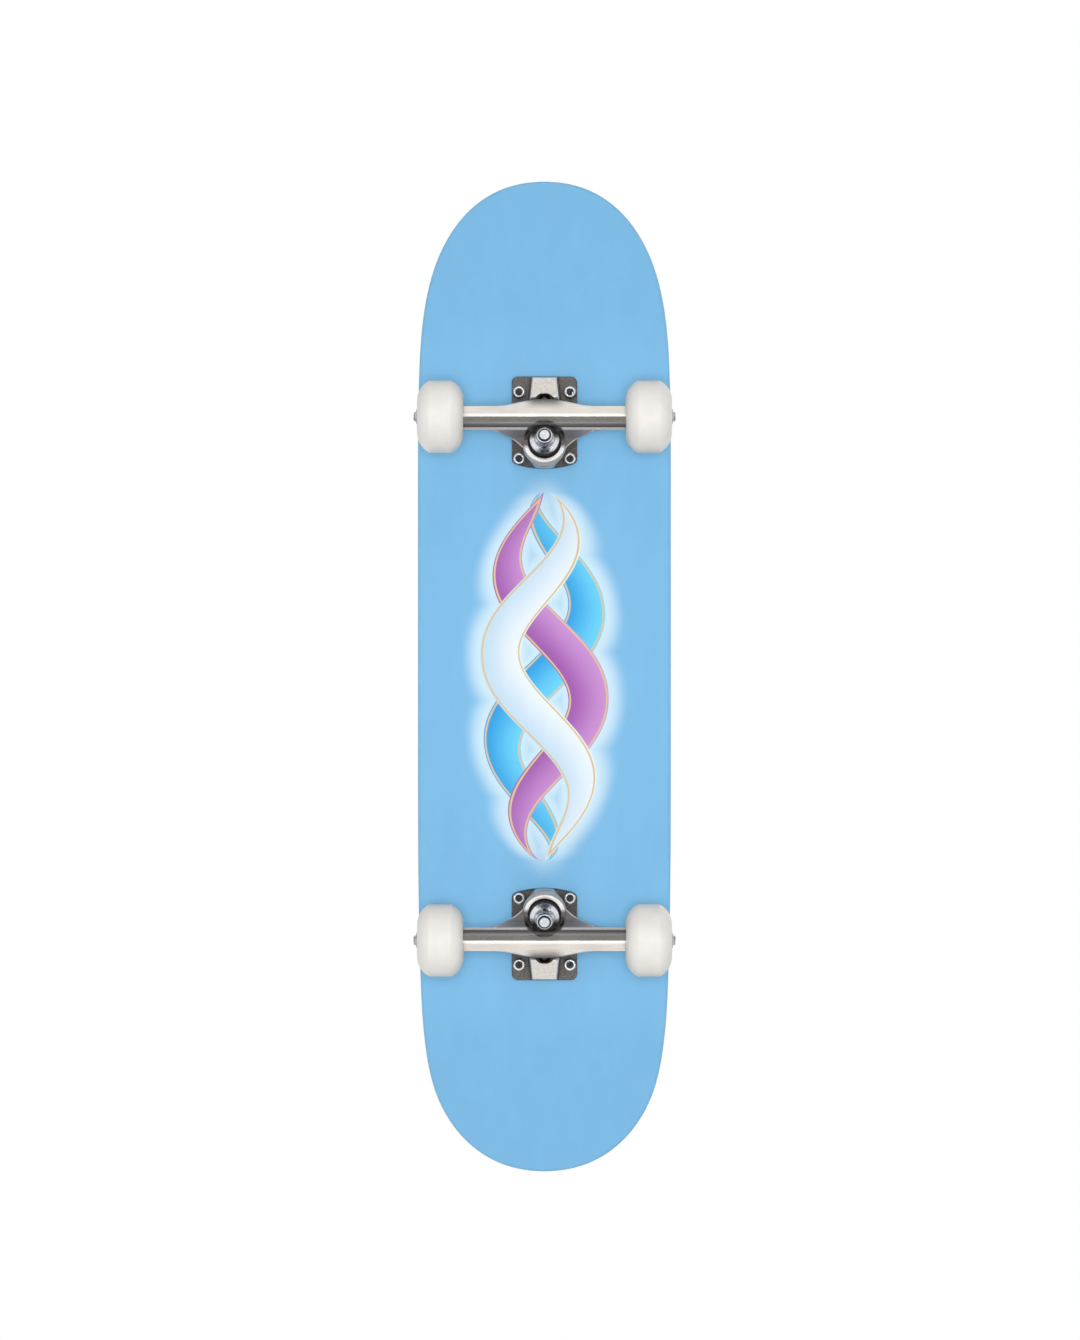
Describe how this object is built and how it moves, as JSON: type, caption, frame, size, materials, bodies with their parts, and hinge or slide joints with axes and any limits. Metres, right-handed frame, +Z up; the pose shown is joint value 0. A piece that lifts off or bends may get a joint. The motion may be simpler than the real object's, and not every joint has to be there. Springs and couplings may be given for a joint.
{
  "type": "skateboard",
  "caption": "Skateboard with a kicked, concave ply deck, grip tape, sprung steering trucks on leaning kingpins, and urethane wheels rolling on ball bearings.",
  "frame": {"origin": "middle of the board's box on the ground under the wheels", "axes": "+X towards the nose, +Y to the rider's left, +Z up"},
  "size_m": [0.8206, 0.2084, 0.1419],
  "materials": {
    "deck_wood": "satin lacquer, sky blue underside over maple plies",
    "grip": "coarse grit",
    "cast_metal": "raw casting",
    "polished_metal": "polished along the bar",
    "zinc_steel": "zinc plated",
    "black_steel": "black oxide",
    "bearing_steel": "ground",
    "white_urethane": "smooth, slightly translucent",
    "black_urethane": "matt"
  },
  "bodies": {
    "board": {"deck": "deck_wood", "grip_tape": "grip", "front_baseplate": "cast_metal", "front_pivot_cup": "black_urethane", "front_kingpin": "zinc_steel", "front_kingpin_nut": "zinc_steel", "front_top_washer": "zinc_steel", "front_bottom_washer": "zinc_steel", "front_top_bushing": "black_urethane", "front_bottom_bushing": "black_urethane", "front_mounting_bolts": "black_steel", "front_mounting_nuts": "zinc_steel", "rear_baseplate": "cast_metal", "rear_pivot_cup": "black_urethane", "rear_kingpin": "zinc_steel", "rear_kingpin_nut": "zinc_steel", "rear_top_washer": "zinc_steel", "rear_bottom_washer": "zinc_steel", "rear_top_bushing": "black_urethane", "rear_bottom_bushing": "black_urethane", "rear_mounting_bolts": "black_steel", "rear_mounting_nuts": "zinc_steel"},
    "front_steering": {"front_hanger": "polished_metal", "front_axle": "zinc_steel", "front_axle_nuts": "zinc_steel", "front_axle_washers": "zinc_steel", "front_bearing_inner_rings": "bearing_steel", "front_bearing_spacers": "zinc_steel"},
    "front_left_rolling": {"front_left_wheel": "white_urethane", "front_left_bearing_outer_rings": "bearing_steel", "front_left_bearing_shields": "bearing_steel"},
    "front_left_balls": {"front_left_bearing_balls": "bearing_steel", "front_left_bearing_cages": "bearing_steel"},
    "front_right_rolling": {"front_right_wheel": "white_urethane", "front_right_bearing_outer_rings": "bearing_steel", "front_right_bearing_shields": "bearing_steel"},
    "front_right_balls": {"front_right_bearing_balls": "bearing_steel", "front_right_bearing_cages": "bearing_steel"},
    "rear_steering": {"rear_hanger": "polished_metal", "rear_axle": "zinc_steel", "rear_axle_nuts": "zinc_steel", "rear_axle_washers": "zinc_steel", "rear_bearing_inner_rings": "bearing_steel", "rear_bearing_spacers": "zinc_steel"},
    "rear_left_rolling": {"rear_left_wheel": "white_urethane", "rear_left_bearing_outer_rings": "bearing_steel", "rear_left_bearing_shields": "bearing_steel"},
    "rear_left_balls": {"rear_left_bearing_balls": "bearing_steel", "rear_left_bearing_cages": "bearing_steel"},
    "rear_right_rolling": {"rear_right_wheel": "white_urethane", "rear_right_bearing_outer_rings": "bearing_steel", "rear_right_bearing_shields": "bearing_steel"},
    "rear_right_balls": {"rear_right_bearing_balls": "bearing_steel", "rear_right_bearing_cages": "bearing_steel"}
  },
  "joints": [
    {"name": "front_steer", "type": "hinge", "parent": "board", "child": "front_steering", "pos_m": [0.23129, 0, 0.068], "axis": [0.9377, 0, 0.3475], "range_deg": [-15, 15], "stiffness_Nm_per_rad": 80, "deforming": ["front_top_bushing", "front_bottom_bushing"]},
    {"name": "front_left_spin", "type": "hinge", "parent": "front_steering", "child": "front_left_rolling", "pos_m": [0.20679, 0.08275, 0.02875], "axis": [0, 1, 0], "continuous": true},
    {"name": "front_left_ball_orbit", "type": "hinge", "parent": "front_steering", "child": "front_left_balls", "pos_m": [0.20679, 0.08275, 0.02875], "axis": [0, 1, 0], "continuous": true},
    {"name": "front_right_spin", "type": "hinge", "parent": "front_steering", "child": "front_right_rolling", "pos_m": [0.20679, -0.08275, 0.02875], "axis": [0, 1, 0], "continuous": true},
    {"name": "front_right_ball_orbit", "type": "hinge", "parent": "front_steering", "child": "front_right_balls", "pos_m": [0.20679, -0.08275, 0.02875], "axis": [0, 1, 0], "continuous": true},
    {"name": "rear_steer", "type": "hinge", "parent": "board", "child": "rear_steering", "pos_m": [-0.23429, 0, 0.068], "axis": [-0.9377, 0, 0.3475], "range_deg": [-15, 15], "stiffness_Nm_per_rad": 80, "deforming": ["rear_top_bushing", "rear_bottom_bushing"]},
    {"name": "rear_left_spin", "type": "hinge", "parent": "rear_steering", "child": "rear_left_rolling", "pos_m": [-0.20979, 0.08275, 0.02875], "axis": [0, 1, 0], "continuous": true},
    {"name": "rear_left_ball_orbit", "type": "hinge", "parent": "rear_steering", "child": "rear_left_balls", "pos_m": [-0.20979, 0.08275, 0.02875], "axis": [0, 1, 0], "continuous": true},
    {"name": "rear_right_spin", "type": "hinge", "parent": "rear_steering", "child": "rear_right_rolling", "pos_m": [-0.20979, -0.08275, 0.02875], "axis": [0, 1, 0], "continuous": true},
    {"name": "rear_right_ball_orbit", "type": "hinge", "parent": "rear_steering", "child": "rear_right_balls", "pos_m": [-0.20979, -0.08275, 0.02875], "axis": [0, 1, 0], "continuous": true}
  ],
  "couplings": [
    {"joint": "front_left_ball_orbit", "follows": "front_left_spin", "ratio": 0.63233},
    {"joint": "front_right_ball_orbit", "follows": "front_right_spin", "ratio": 0.63233},
    {"joint": "rear_left_ball_orbit", "follows": "rear_left_spin", "ratio": 0.63233},
    {"joint": "rear_right_ball_orbit", "follows": "rear_right_spin", "ratio": 0.63233}
  ]
}
